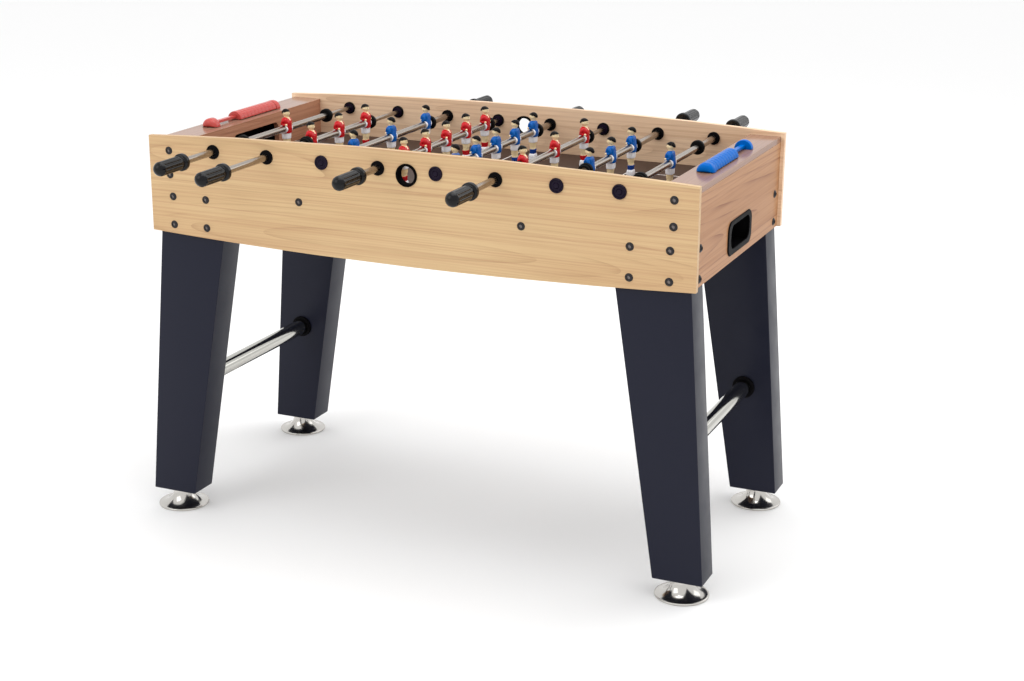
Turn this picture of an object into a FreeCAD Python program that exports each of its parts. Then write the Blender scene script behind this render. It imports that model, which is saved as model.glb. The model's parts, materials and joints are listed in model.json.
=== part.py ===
"""Foosball table: a wooden cabinet on four tapered legs with eight telescopic player rods.

Millimetres. X runs along the table, Y across it, Z up. The origin is on the floor under
the middle of the table. Red rods have their handles at -Y, blue rods at +Y.
"""
import FreeCAD, Part
import math
import os
from FreeCAD import Placement, Rotation, Vector

# ---------------------------------------------------------------- driving dimensions
# cabinet
length = 1220.0             # outside, along X
width = 610.0               # outside, along Y
board = 12.0                # aprons, end panels, goal walls, shelves and playfield
apron_top_mid = 864.0       # top edge of the aprons at mid-length, above the floor
apron_top_end = 848.0       # and at their ends
apron_low_mid = 627.0       # bottom edge of the aprons at mid-length
apron_low_end = 642.5       # and at their ends
panel_inset = 8.0           # end panels stand back from the apron ends
shelf_top = 840.0
panel_low = 643.0           # bottom edge of the end panels
ball_well = 46.0            # clear depth between goal wall and end panel

# play
rod_z = 824.5               # axis of the rods above the floor
goal_to_rod = 80.5          # from the goal wall to the first rod
foot_pass_gap = 2.4         # half of the gap between two feet that swing past each other
field_gap = 2.6             # between a hanging foot and the playfield
goal_half = 98.0            # half width of a goal
goal_lintel = 11.0          # wood left between the goal and the shelf above it
goal_corner = 18.0
brace_height = 22.0
brace_thick = 18.0
brace_share = 249.0         # distance of the two cross braces from the middle

# rods: number of men, spacing and which side of the table the handle is on
men_per_rod = (1, 3, 3, 5, 5, 3, 3, 1)
men_spacing = (0.0, 125.0, 172.0, 102.0, 102.0, 172.0, 125.0, 0.0)
handle_side = (-1, -1, 1, -1, 1, -1, 1, 1)
shift_share = (-0.04, 0.0385, 0.07, 0.26, -0.20, 0.02, -0.0385, -0.045)
tube_r = 7.25
tube_wall = 1.25
inner_rod_r = 4.75
guide_length = 25.0
engagement = 60.0           # tube always covers this much of its inner rod
running_gap = 0.08          # radial, tube in its bushings, bumpers and guide
snug_gap = 0.05             # radial, between pieces of one body
goalie_stop = 176.0         # inner face of a goalkeeper's bumper from the man

# bumpers, bushings and handles
bumper_gap = 14.0           # from the middle of the last man to his bumper
bumper_disc_r = 15.5
bumper_disc = 10.0
bumper_hub_r = 12.5
bumper_hub = 6.0
flange_r = 15.0
flange = 4.0
nut_r = 14.0
sleeve_r = 11.0
nut_ring = 5.0
stop_gap = 1.0              # bumper to bushing at the end of the travel
handle_length = 95.0
handle_r = 15.0
collar_r = 18.0
collar_length = 12.0
# collar to bushing when each rod is pushed right in
handle_gap = (8.0, 29.0, 33.0, 35.0, 36.0, 25.0, 29.0, 34.0)
handle_socket = 62.0
flutes = 8

# men
head_top = 44.0
head_r = 9.0
shoulder_width = 30.0
chest_depth = 18.0
boss_r = 10.5
boss_half = 12.5
foot_length = 15.0
foot_width = 22.0
foot_height = 14.0

# serve holes, goal boxes and ball returns
serve_drop = 9.0            # centre of the serve hole below the rods
serve_r = 18.5
serve_wall = 2.5
serve_flange_r = 23.5
serve_flange = 3.0
liner = 2.0                 # wall of the goal box
chute_half = 106.0
cup_half = 74.0
cup_wall = 2.5
cup_low = 662.0
cup_height = 62.0
bezel_width = 163.0
bezel_height = 72.0
bezel_lip = 8.0
bezel_corner = 21.0
bezel = 3.0
bezel_chamfer = 2.0

# legs, feet and stretchers
leg_top_width = 156.0
leg_bottom_width = 105.6
leg_lean = 48.5             # outer edge moves out by this from top to bottom
leg_splay = 10.9            # and the front face forward by this
leg_depth = 70.4
leg_wall = 12.0
leg_shoulder = 5.0          # the leg stands this far inside the end panel's face
leg_block = 60.0            # solid block at the bottom of the hollow leg
tongue_side = 3.0
foot_high = 40.6
foot_r = 56.0
foot_rim = 4.0
neck_r = 20.5
stud_r = 5.0
stud_length = 40.0
stud_gap = 0.4
stretcher_z = 285.0
stretcher_r = 18.0
stretcher_wall = 1.5
socket_r = 25.0
socket = 6.0

# score rails
score_half = 145.0
score_block = 24.0
score_r = 19.0
bead_r = 18.0
beads = 10
bead_pitch = 15.5
bead_space = 0.5
bar_width = 10.0
bar_height = 6.0
bar_lift = 4.0
bar_gap = 0.5
bead_lift = 0.8

# fasteners and blocks
bolt_head_r = 8.5
bolt_head = 4.5
bolt_r = 3.0
bolt_gap = 0.1
hex_across = 5.0
hex_deep = 2.5
corner_block = 24.0
corner_bolt_drops = (9.5, 61.0)     # below the shelf
leg_bolt_rise = 16.0        # lower leg bolts above the bottom of the end panels
leg_bolt_drop = 17.8        # upper leg bolts below the top of the leg's tongue
leg_bolt_insets = (31.0, 34.0)      # from the inner and outer side of the leg's tongue
level_gap = 2.0

# ---------------------------------------------------------------- worked-out places
half_x = length / 2
half_y = width / 2
apron_in = half_y - board
panel_out = half_x - panel_inset
panel_in = panel_out - board
wall_out = panel_in - ball_well
goal_x = wall_out - board
rods = len(men_per_rod)
rod_pitch = 2 * (goal_x - goal_to_rod) / (rods - 1)
rod_x = [(k - (rods - 1) / 2) * rod_pitch for k in range(rods)]
foot_reach = rod_pitch / 2 - foot_pass_gap
foot_drop = math.sqrt(foot_reach ** 2 - (foot_length / 2) ** 2)
field_z = rod_z - foot_reach - field_gap
field_low = field_z - board
brace_z = field_low - brace_height / 2
shelf_low = shelf_top - board
wall_low = field_low - 4 * level_gap
tongue_top = wall_low - level_gap
goal_top = shelf_low - goal_lintel
leg_bolt_z = (panel_low + leg_bolt_rise, tongue_top - leg_bolt_drop)
serve_z = rod_z - serve_drop
cup_top = cup_low + cup_height
leg_out_top = panel_out - leg_shoulder
leg_in_top = leg_out_top - leg_top_width
leg_out_low = leg_out_top + leg_lean
leg_in_low = leg_out_low - leg_bottom_width
tongue_in = leg_in_top + tongue_side
foot_x = (leg_out_low + leg_in_low) / 2
foot_y = apron_in + leg_splay - leg_depth / 2
bumper = bumper_disc + bumper_hub
stop_face = apron_in - nut_ring
score_x = (goal_x + panel_out) / 2
score_clear = score_half - score_block
stack = beads * bead_pitch
corner_bolt_x = wall_out + ball_well * 0.37
leg_bolt_x = (tongue_in + leg_bolt_insets[0], panel_in - leg_bolt_insets[1])
leg_mid_y = apron_in - leg_depth / 2 + level_gap * 2
bolt_length = 2 * board + flange


def bumper_face(k):
    """Distance from the middle of rod k to the inner face of its bumpers."""
    if men_per_rod[k] == 1:
        return goalie_stop
    return (men_per_rod[k] - 1) / 2 * men_spacing[k] + bumper_gap


def travel(k):
    """How far rod k slides each way from the middle of the table."""
    return stop_face - stop_gap - bumper_face(k) - bumper


def shift(k):
    """Where rod k stands at rest, from the middle of the table."""
    return shift_share[k] * travel(k)


# ---------------------------------------------------------------- shapes
def save(name, solids):
    """Write one node: a single solid, or several separate ones."""
    shape = solids[0] if len(solids) == 1 else Part.makeCompound(solids)
    shape.exportStep("parts/" + name + ".step")


def block(x0, x1, y0, y1, z0, z1):
    """A rectangular block between two corners, given in any order."""
    low = Vector(min(x0, x1), min(y0, y1), min(z0, z1))
    return Part.makeBox(abs(x1 - x0), abs(y1 - y0), abs(z1 - z0), low)


def bar_y(x, z, r, y0, y1):
    """A round bar along Y."""
    start = Vector(x, min(y0, y1), z)
    return Part.makeCylinder(r, abs(y1 - y0), start, Vector(0, 1, 0))


def turned(profile, x, z, y, way):
    """Turn a closed (distance, radius) outline about an axis along Y from y, facing way."""
    points = [Vector(x + r, y + way * u, z) for u, r in profile]
    face = Part.Face(Part.makePolygon(points + [points[0]]))
    solid = face.revolve(Vector(x, y, z), Vector(0, 1, 0), 360)
    return solid


def mirror_y(shape):
    """The same shape on the other long side."""
    return shape.mirror(Vector(0, 0, 0), Vector(0, 1, 0))


def mirror_x(shape):
    """The same shape at the other end."""
    return shape.mirror(Vector(0, 0, 0), Vector(1, 0, 0))


def both_ends(shape):
    """A shape at the right end and its mirror image at the left end."""
    return [mirror_x(shape), shape]


def four_corners(shape):
    """A shape in the rear right corner and its three mirror images."""
    return [mirror_x(mirror_y(shape)), mirror_y(shape), mirror_x(shape), shape]


def outline_x(points, x0, x1):
    """Extrude a closed (y, z) polygon along X."""
    corners = [Vector(x0, y, z) for y, z in points]
    return Part.Face(Part.makePolygon(corners + [corners[0]])).extrude(Vector(x1 - x0, 0, 0))


def rounded_x(half, z0, z1, r, x0, x1, low_corners=True):
    """A block along X whose (y, z) corners are rounded, the lower two only if asked."""
    solid = block(x0, x1, -half, half, z0, z1)
    middle = (z0 + z1) / 2
    edges = []
    for edge in solid.Edges:
        line = edge.BoundBox
        if line.XLength > abs(x1 - x0) / 2 and (low_corners or line.ZMin > middle):
            edges.append(edge)
    return solid.makeFillet(r, edges)


# ---------------------------------------------------------------- cabinet
def bolt_places_y():
    """(x, z) of every bolt through one apron."""
    places = [(side * corner_bolt_x, shelf_low - drop) for side in (-1, 1) for drop in corner_bolt_drops]
    places += [(side * x, z) for side in (-1, 1) for x in leg_bolt_x for z in leg_bolt_z]
    places += [(side * brace_share, brace_z) for side in (-1, 1)]
    return places


def bolt_places_x():
    """(y, z) of every bolt through one end panel."""
    return [(side * leg_mid_y, z) for side in (-1, 1) for z in leg_bolt_z]


def bolt(place, way):
    """A button-head bolt: its head stands out against way, its shank runs along way."""
    dome = math.hypot(bolt_head_r, bolt_head) ** 2 / (2 * bolt_head)
    ball = Part.makeSphere(dome, Vector(0, 0, dome - bolt_head))
    head = Part.makeCylinder(bolt_head_r, bolt_head, Vector(0, 0, -bolt_head)).common(ball)
    corner = hex_across / math.sqrt(3)
    ring = [Vector(corner * math.cos(a), corner * math.sin(a), -bolt_head)
            for a in [math.radians(60 * k) for k in range(6)]]
    socket_cut = Part.Face(Part.makePolygon(ring + [ring[0]])).extrude(Vector(0, 0, hex_deep))
    shank = Part.makeCylinder(bolt_r, bolt_length)
    solid = head.cut(socket_cut).fuse(shank).removeSplitter()
    solid.Placement = Placement(place, Rotation(Vector(0, 0, 1), way))
    return solid


def bolt_holes(way_y):
    """Round cutters a little wider than the shanks, through the +Y apron and through both ends."""
    r = bolt_r + bolt_gap
    cutters = [bar_y(x, z, r, way_y * (half_y + 1), way_y * (half_y - bolt_length - 1))
               for x, z in bolt_places_y()]
    for side in (-1, 1):
        for y, z in bolt_places_x():
            start = Vector(side * (panel_out + 1), y, z)
            cutters.append(Part.makeCylinder(r, bolt_length + 2, start, Vector(-side, 0, 0)))
    return cutters


def rear_apron():
    """A long side board with arched top and bottom edges, bored for bushings and serve hole."""
    top = [Vector(-half_x, apron_in, apron_top_end), Vector(0, apron_in, apron_top_mid),
           Vector(half_x, apron_in, apron_top_end)]
    low = [Vector(half_x, apron_in, apron_low_end), Vector(0, apron_in, apron_low_mid),
           Vector(-half_x, apron_in, apron_low_end)]
    edges = [Part.Arc(*top).toShape(), Part.makeLine(top[2], low[0]),
             Part.Arc(*low).toShape(), Part.makeLine(low[2], top[0])]
    solid = Part.Face(Part.Wire(edges)).extrude(Vector(0, board, 0))
    cutters = [bar_y(x, rod_z, sleeve_r + snug_gap, apron_in - 1, half_y + 1) for x in rod_x]
    cutters.append(bar_y(0, serve_z, serve_r + serve_wall + snug_gap, apron_in - 1, half_y + 1))
    return solid.cut(cutters + bolt_holes(1))


def end_panel():
    """An end board with the ball return's cut-out."""
    solid = block(panel_in, panel_out, -apron_in, apron_in, panel_low, shelf_low)
    mouth = block(panel_in - 1, panel_out + 1, -cup_half - snug_gap, cup_half + snug_gap,
                  cup_low - snug_gap, cup_top + snug_gap)
    return solid.cut([mouth] + bolt_holes(1))


def goal_wall():
    """The board behind the playfield's end, with the goal cut out down to the field."""
    solid = block(goal_x, wall_out, -apron_in, apron_in, wall_low, shelf_low)
    goal = rounded_x(goal_half, field_z, goal_top, goal_corner,
                     goal_x - 1, wall_out + 1, low_corners=False)
    return solid.cut(goal)


def end_shelf():
    """The board that covers the ball well and the end panel's edge."""
    return block(goal_x, panel_out, -apron_in, apron_in, shelf_low, shelf_top)


def cross_braces():
    """Two braces under the field that the aprons bolt to, and a cleat along each goal wall."""
    solids = []
    low = field_low - brace_height
    for side in (-1, 1):
        middle = side * brace_share
        brace = block(middle - brace_thick / 2, middle + brace_thick / 2,
                      -apron_in, apron_in, low, field_low)
        solids.append(brace.cut(bolt_holes(1) + bolt_holes(-1)))
        reach = apron_in - leg_depth - level_gap
        solids.append(block(side * (goal_x - brace_thick), side * goal_x, -reach, reach, low, field_low))
    return solids


def corner_batten():
    """An upright batten in the ball well's corner, screwed to by the apron's end bolts."""
    solid = block(wall_out, panel_in, apron_in - corner_block, apron_in, wall_low, shelf_low)
    return solid.cut(bolt_holes(1))


# ---------------------------------------------------------------- ball path
def goal_box():
    """The black box behind a goal: open to the field and open below to the ball return."""
    low = field_z - level_gap * 2
    top = shelf_low - level_gap * 2
    outer = [(-chute_half, top), (chute_half, top), (chute_half, low), (cup_half, cup_top),
             (-cup_half, cup_top), (-chute_half, low)]
    side = chute_half - liner
    foot = cup_half - liner
    inner = [(-side, top - liner), (side, top - liner), (side, low), (foot, cup_top),
             (foot, cup_top - 1), (-foot, cup_top - 1), (-foot, cup_top), (-side, low)]
    back = panel_in - level_gap * 2
    shell = outline_x(outer, wall_out, back)
    return shell.cut(outline_x(inner, wall_out - 1, back - liner))


def ball_return():
    """A cup below the goal box with a framed mouth in the end panel."""
    back = wall_out + level_gap * 2
    cup = block(back, panel_out, -cup_half, cup_half, cup_low, cup_top)
    inside = block(back + cup_wall, panel_out + bezel + 1, -cup_half + cup_wall, cup_half - cup_wall,
                   cup_low + cup_wall, cup_top - cup_wall)
    drop = block(back + cup_wall, panel_in - level_gap * 2, -cup_half + cup_wall,
                 cup_half - cup_wall, cup_low + cup_wall, cup_top + 1)
    middle = (cup_low + cup_top) / 2
    frame = rounded_x(bezel_width / 2, middle - bezel_height / 2, middle + bezel_height / 2,
                      bezel_corner, panel_out, panel_out + bezel)
    front = [edge for edge in frame.Edges if edge.BoundBox.XMin > panel_out + bezel / 2]
    frame = frame.makeChamfer(bezel_chamfer, front)
    mouth = rounded_x(cup_half - bezel_lip, cup_low + bezel_lip, cup_top - bezel_lip / 2,
                      bezel_corner - cup_wall, panel_out - 1, panel_out + bezel + 1)
    return cup.cut([inside, drop]).fuse(frame.cut(mouth)).removeSplitter()


def serve_ring(way):
    """The flanged sleeve of a serve hole and the ring pressed on it inside the table."""
    sleeve_out = serve_r + serve_wall
    inner = board + serve_flange
    sleeve = [(-serve_flange, serve_r), (-serve_flange, serve_flange_r), (0, serve_flange_r),
              (0, sleeve_out), (inner, sleeve_out), (inner, serve_r)]
    ring = [(board, sleeve_out + snug_gap), (board, serve_flange_r),
            (inner, serve_flange_r), (inner, sleeve_out + snug_gap)]
    return [turned(outline, 0, serve_z, way * half_y, -way) for outline in (sleeve, ring)]


# ---------------------------------------------------------------- rods
def bushing(k):
    """The open bushing on the handle side of rod k: a flanged sleeve and its ring nut."""
    way = handle_side[k]
    bore = tube_r + running_gap
    inner = board + nut_ring
    sleeve = [(-flange, bore), (-flange, flange_r - 2), (-flange + 2, flange_r), (0, flange_r),
              (0, sleeve_r), (inner, sleeve_r), (inner, bore)]
    return [turned(sleeve, rod_x[k], rod_z, way * half_y, -way), ring_nut(k, way)]


def ring_nut(k, way):
    """The round nut that clamps a bushing from inside the table."""
    hole = sleeve_r + snug_gap
    nut = [(board, hole), (board, nut_r), (board + nut_ring - 1.5, nut_r),
           (board + nut_ring, nut_r - 1.5), (board + nut_ring, hole)]
    return turned(nut, rod_x[k], rod_z, way * half_y, -way)


def blind_bushing(k):
    """The closed bushing opposite the handle, which holds the inner rod."""
    way = -handle_side[k]
    hole = inner_rod_r + snug_gap
    inner = board + nut_ring
    cap = [(-flange, 0), (-flange, flange_r * 0.3), (-1, flange_r * 0.42), (-1, flange_r * 0.7),
           (-flange, flange_r * 0.82), (-flange, flange_r - 1.5), (-flange + 1.5, flange_r),
           (0, flange_r), (0, sleeve_r), (inner, sleeve_r), (inner, hole), (2, hole), (2, 0)]
    return [turned(cap, rod_x[k], rod_z, way * half_y, -way), ring_nut(k, way)]


def inner_rod(k):
    """The thin rod fixed opposite the handle, with the guide bush that the tube slides on."""
    way = -handle_side[k]
    tip = bumper_face(k) + bumper - travel(k) - engagement
    core = bar_y(rod_x[k], rod_z, inner_rod_r, way * tip, way * (half_y - 2))
    outside = bar_y(rod_x[k], rod_z, tube_r - tube_wall - running_gap, way * tip,
                    way * (tip + guide_length))
    hole = bar_y(rod_x[k], rod_z, inner_rod_r + snug_gap, way * (tip - 1),
                 way * (tip + guide_length + 1))
    return [core, outside.cut(hole)]


def collar_place(k):
    """Distance from the middle of rod k to its handle."""
    return half_y + flange + travel(k) + handle_gap[k]


def tube(k):
    """The hollow rod, from inside the handle to the far bumper."""
    way = -handle_side[k]
    y0 = shift(k) - way * (collar_place(k) + handle_socket)
    y1 = shift(k) + way * (bumper_face(k) + bumper)
    outer = bar_y(rod_x[k], rod_z, tube_r, y0, y1)
    return outer.cut(bar_y(rod_x[k], rod_z, tube_r - tube_wall, y0 - way, y1 + way))


def handle(k):
    """A fluted grip with a collar at the rod and a domed end."""
    hole = tube_r + snug_gap
    waist_r = handle_r - 1.5
    start = shift(k) + handle_side[k] * collar_place(k)
    end_arc = [(handle_length - handle_r * (1 - math.sin(a)), handle_r * math.cos(a))
               for a in [math.radians(15 * s) for s in range(6)]]
    outline = [(0, hole), (0, collar_r - 4), (3, collar_r), (collar_length - 3, collar_r),
               (collar_length, waist_r), (collar_length + 10, handle_r)]
    outline += end_arc + [(handle_length, 0), (handle_socket, 0), (handle_socket, hole)]
    grip = turned(outline, rod_x[k], rod_z, start, handle_side[k])
    cutters = []
    for n in range(flutes):
        a = 2 * math.pi * n / flutes
        x = rod_x[k] + (handle_r + 1.2) * math.cos(a)
        z = rod_z + (handle_r + 1.2) * math.sin(a)
        cutters.append(bar_y(x, z, 2.6, start + handle_side[k] * (collar_length + 8),
                             start + handle_side[k] * (handle_length - handle_r)))
    return grip.cut(cutters)


def bumpers(k):
    """The pair of rubber stops outside the men: a disc with a hub towards the wall."""
    bore = tube_r + running_gap
    face = bumper_face(k)
    outline = [(face, bore), (face, bumper_disc_r - 2), (face + 2, bumper_disc_r),
               (face + bumper_disc, bumper_disc_r), (face + bumper_disc, bumper_hub_r),
               (face + bumper, bumper_hub_r), (face + bumper, bore)]
    return [turned(outline, rod_x[k], rod_z, shift(k), way) for way in (-1, 1)]


def slab(x_half, y_half, z):
    """A rectangle across the man at height z above the rod."""
    points = [Vector(-x_half, -y_half, z), Vector(x_half, -y_half, z),
              Vector(x_half, y_half, z), Vector(-x_half, y_half, z)]
    return Part.makePolygon(points + [points[0]])


def figure():
    """One man about the origin: head, chest, boss round the rod, legs and foot block."""
    boss = bar_y(0, 0, boss_r, -boss_half, boss_half)
    chest = Part.makeLoft([slab(chest_depth / 2 - 1, shoulder_width / 2 - 4, 6),
                           slab(chest_depth / 2, shoulder_width / 2, head_top - 2.4 * head_r)], True, True)
    chest = chest.makeFillet(3, chest.Edges)
    neck = Part.makeCylinder(head_r * 0.55, head_r, Vector(0, 0, head_top - 2.9 * head_r))
    head = Part.makeSphere(head_r, Vector(0, 0, head_top - head_r))
    legs = Part.makeLoft([slab(5.5, 7.5, foot_height - foot_drop - 1), slab(8.0, 11.0, -8)], True, True)
    foot = block(-foot_length / 2, foot_length / 2, -foot_width / 2, foot_width / 2,
                 -foot_drop, foot_height - foot_drop)
    foot = foot.makeFillet(2, [e for e in foot.Edges if e.BoundBox.ZLength > foot_height / 2])
    body = boss.fuse([chest, neck, head, legs, foot]).removeSplitter()
    hole = bar_y(0, 0, tube_r + snug_gap, -boss_half - 1, boss_half + 1)
    return body.cut(hole)


def men(k, man):
    """The men of rod k, evenly spaced about its middle."""
    count = men_per_rod[k]
    solids = []
    for n in range(count):
        copy = man.copy()
        copy.translate(Vector(rod_x[k], shift(k) + (n - (count - 1) / 2) * men_spacing[k], rod_z))
        solids.append(copy)
    return solids


# ---------------------------------------------------------------- legs
def lean(z):
    """How far down the leg z is: 0 at the end panel's bottom edge, 1 at the leg's own bottom."""
    return (panel_low - z) / (panel_low - foot_high)


def front_face(z):
    """Y of the rear leg's outer face: upright behind the apron, splayed outwards below it."""
    return apron_in + leg_splay * max(0, (apron_low_mid - z) / (apron_low_mid - foot_high))


def leg_section(margin, z):
    """The rear right leg's outline in plan at height z, shrunk by margin all round."""
    x0 = leg_in_top + (leg_in_low - leg_in_top) * lean(z) + margin
    x1 = leg_out_top + leg_lean * lean(z) - margin
    y1 = front_face(z) - margin
    y0 = front_face(z) - leg_depth + margin
    points = [Vector(x0, y0, z), Vector(x1, y0, z), Vector(x1, y1, z), Vector(x0, y1, z)]
    return Part.makePolygon(points + [points[0]])


def leg():
    """The rear right leg: a tapered hollow box, and a tongue that goes up inside the cabinet."""
    outer = Part.makeLoft([leg_section(0, z) for z in (foot_high, apron_low_mid, panel_low)], True, True)
    tongue = block(tongue_in, panel_in, apron_in - leg_depth, apron_in, panel_low, tongue_top)
    hollow = Part.makeLoft([leg_section(leg_wall, z)
                            for z in (foot_high + leg_block, apron_low_mid, panel_low)], True, True)
    top_hollow = block(tongue_in + leg_wall, panel_in - leg_wall, apron_in - leg_depth + leg_wall,
                       apron_in - leg_wall, panel_low - leg_wall, tongue_top + 1)
    stud_hole = Part.makeCylinder(stud_r + stud_gap, stud_length + stud_gap,
                                  Vector(foot_x, foot_y, foot_high))
    return outer.fuse(tongue).removeSplitter().cut([hollow, top_hollow, stud_hole] + bolt_holes(1))


def levelling_foot():
    """The rear right foot: a trumpet-shaped base on a threaded stud."""
    rim = Vector(foot_r, 0, foot_rim)
    bend = Vector(neck_r + (foot_r - neck_r) * 0.27, 0, foot_high * 0.37)
    neck = Vector(neck_r, 0, foot_high - 3)
    points = [neck, Vector(neck_r, 0, foot_high), Vector(stud_r, 0, foot_high),
              Vector(stud_r, 0, foot_high + stud_length), Vector(0, 0, foot_high + stud_length),
              Vector(0, 0, 0), Vector(foot_r, 0, 0), rim]
    edges = [Part.makeLine(a, b) for a, b in zip(points[:-1], points[1:])]
    edges.append(Part.Arc(rim, bend, neck).toShape())
    solid = Part.Face(Part.Wire(edges)).revolve(Vector(0, 0, 0), Vector(0, 0, 1), 360)
    solid.translate(Vector(foot_x, foot_y, 0))
    return solid


def stretcher_x():
    """X of the right stretcher: the middle of the leg at its height."""
    share = lean(stretcher_z)
    return ((leg_in_top + leg_out_top) + (leg_in_low - leg_in_top + leg_lean) * share) / 2


def stretcher(legs):
    """The tube between the right legs, cut off at their faces."""
    outer = bar_y(stretcher_x(), stretcher_z, stretcher_r, -apron_in, apron_in)
    inner = bar_y(stretcher_x(), stretcher_z, stretcher_r - stretcher_wall, -apron_in - 1, apron_in + 1)
    pieces = outer.cut(inner).cut(legs).Solids
    return max(pieces, key=lambda piece: piece.Volume)


def stretcher_socket(one_leg):
    """The flanged ring that the tube's end sits in, flat against the rear right leg."""
    face = front_face(stretcher_z) - leg_depth
    ring = bar_y(stretcher_x(), stretcher_z, socket_r, face - socket, face + leg_wall / 2)
    hole = bar_y(stretcher_x(), stretcher_z, stretcher_r + snug_gap, face - socket - 1, face + leg_wall)
    return ring.cut(hole).cut(one_leg)


# ---------------------------------------------------------------- scoring
def dome_y(r, z, x, y0, y1):
    """A half-round bar along Y with its flat side down at height z."""
    bar = bar_y(x, z, r, y0, y1)
    return bar.common(block(x - r, x + r, y0, y1, z, z + r))


def score_rail(side):
    """A square bar between two half-round end blocks on one shelf."""
    x = side * score_x
    blocks = [dome_y(score_r, shelf_top, x, way * score_clear, way * score_half) for way in (-1, 1)]
    z = shelf_top + bar_lift
    bar = block(x - bar_width / 2, x + bar_width / 2, -score_clear, score_clear, z, z + bar_height)
    return blocks[0].fuse([blocks[1], bar]).removeSplitter()


def score_beads(side):
    """Ten half-round counters on one bar: red at the rear of theirs, blue at the front."""
    x = side * score_x
    low = shelf_top + bead_lift
    first = score_clear - bead_space - stack if side < 0 else -score_clear + bead_space
    z = shelf_top + bar_lift
    half = bar_width / 2 + bar_gap
    hole = block(x - half, x + half, -score_clear, score_clear, z - bar_gap, z + bar_height + bar_gap)
    solids = []
    for n in range(beads):
        y0 = first + n * bead_pitch
        bead = dome_y(bead_r, low, x, y0, y0 + bead_pitch - bead_space)
        rims = [e for e in bead.Edges if e.BoundBox.ZLength > bead_r / 2]
        solids.append(bead.makeChamfer(1.5, rims).cut(hole))
    return solids


# ---------------------------------------------------------------- all the nodes
def build():
    """Make every node and write it out."""
    os.makedirs("parts", exist_ok=True)
    apron = rear_apron()
    save("front_apron", [mirror_y(apron)])
    save("rear_apron", [apron])
    panel = end_panel()
    save("left_end_panel", [mirror_x(panel)])
    save("right_end_panel", [panel])
    save("goal_walls", both_ends(goal_wall()))
    save("end_shelves", both_ends(end_shelf()))
    save("playfield", [block(-goal_x, goal_x, -apron_in, apron_in, field_low, field_z)])
    save("field_braces", cross_braces())
    save("corner_battens", four_corners(corner_batten()))
    save("goal_boxes", both_ends(goal_box()))
    save("ball_returns", both_ends(ball_return()))
    save("serve_rings", serve_ring(-1) + serve_ring(1))

    save("rod_bushings", [s for k in range(rods) for s in bushing(k) + blind_bushing(k)])
    save("inner_rods", [s for k in range(rods) for s in inner_rod(k)])
    man = figure()
    for k in range(rods):
        name = "rod_%d_" % (k + 1)
        save(name + "tube", [tube(k)])
        save(name + "handle", [handle(k)])
        save(name + "bumpers", bumpers(k))
        save(name + "men", men(k, man))

    corners = ("front_left", "front_right", "rear_left", "rear_right")
    legs = four_corners(leg())
    for corner, solid, foot in zip(corners, legs, four_corners(levelling_foot())):
        save(corner + "_leg", [solid])
        save(corner + "_foot", [foot])
    save("leg_stretchers", both_ends(stretcher([legs[1], legs[3]])))
    save("stretcher_sockets", four_corners(stretcher_socket(legs[3])))

    save("score_rails", [score_rail(-1), score_rail(1)])
    save("red_counters", score_beads(-1))
    save("blue_counters", score_beads(1))
    bolts = [bolt(Vector(x, way * half_y, z), Vector(0, -way, 0))
             for way in (-1, 1) for x, z in bolt_places_y()]
    bolts += [bolt(Vector(way * panel_out, y, z), Vector(-way, 0, 0))
              for way in (-1, 1) for y, z in bolt_places_x()]
    save("bolts", bolts)


build()
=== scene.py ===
"""The foosball table's looks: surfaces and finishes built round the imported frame.

Lengths inside the shape functions are millimetres and turn to metres when a piece is made.
X runs along the table, Y across it and Z up, as in the frame.
"""
import json
import math

import bmesh
import bpy
import numpy as np
from mathutils import Matrix, Vector

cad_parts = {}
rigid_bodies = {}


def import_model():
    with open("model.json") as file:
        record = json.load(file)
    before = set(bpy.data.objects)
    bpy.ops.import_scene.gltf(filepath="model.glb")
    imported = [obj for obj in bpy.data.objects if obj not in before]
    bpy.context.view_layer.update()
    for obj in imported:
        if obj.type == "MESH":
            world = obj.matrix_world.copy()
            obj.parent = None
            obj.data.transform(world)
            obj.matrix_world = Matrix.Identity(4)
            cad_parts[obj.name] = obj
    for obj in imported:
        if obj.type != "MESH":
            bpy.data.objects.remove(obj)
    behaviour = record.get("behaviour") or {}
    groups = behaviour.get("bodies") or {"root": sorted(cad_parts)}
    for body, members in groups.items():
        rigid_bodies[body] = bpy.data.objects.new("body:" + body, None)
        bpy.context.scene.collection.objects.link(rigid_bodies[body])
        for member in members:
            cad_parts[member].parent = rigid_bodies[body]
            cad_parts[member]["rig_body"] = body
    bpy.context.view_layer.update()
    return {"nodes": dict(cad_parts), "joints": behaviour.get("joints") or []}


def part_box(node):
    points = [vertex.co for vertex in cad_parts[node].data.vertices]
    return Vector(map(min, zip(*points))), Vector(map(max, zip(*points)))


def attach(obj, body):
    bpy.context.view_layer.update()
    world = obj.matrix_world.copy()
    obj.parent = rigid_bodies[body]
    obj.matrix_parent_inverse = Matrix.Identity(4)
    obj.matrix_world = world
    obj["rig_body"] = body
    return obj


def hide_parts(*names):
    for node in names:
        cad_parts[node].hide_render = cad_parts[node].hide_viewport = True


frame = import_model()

MM = 0.001

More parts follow.
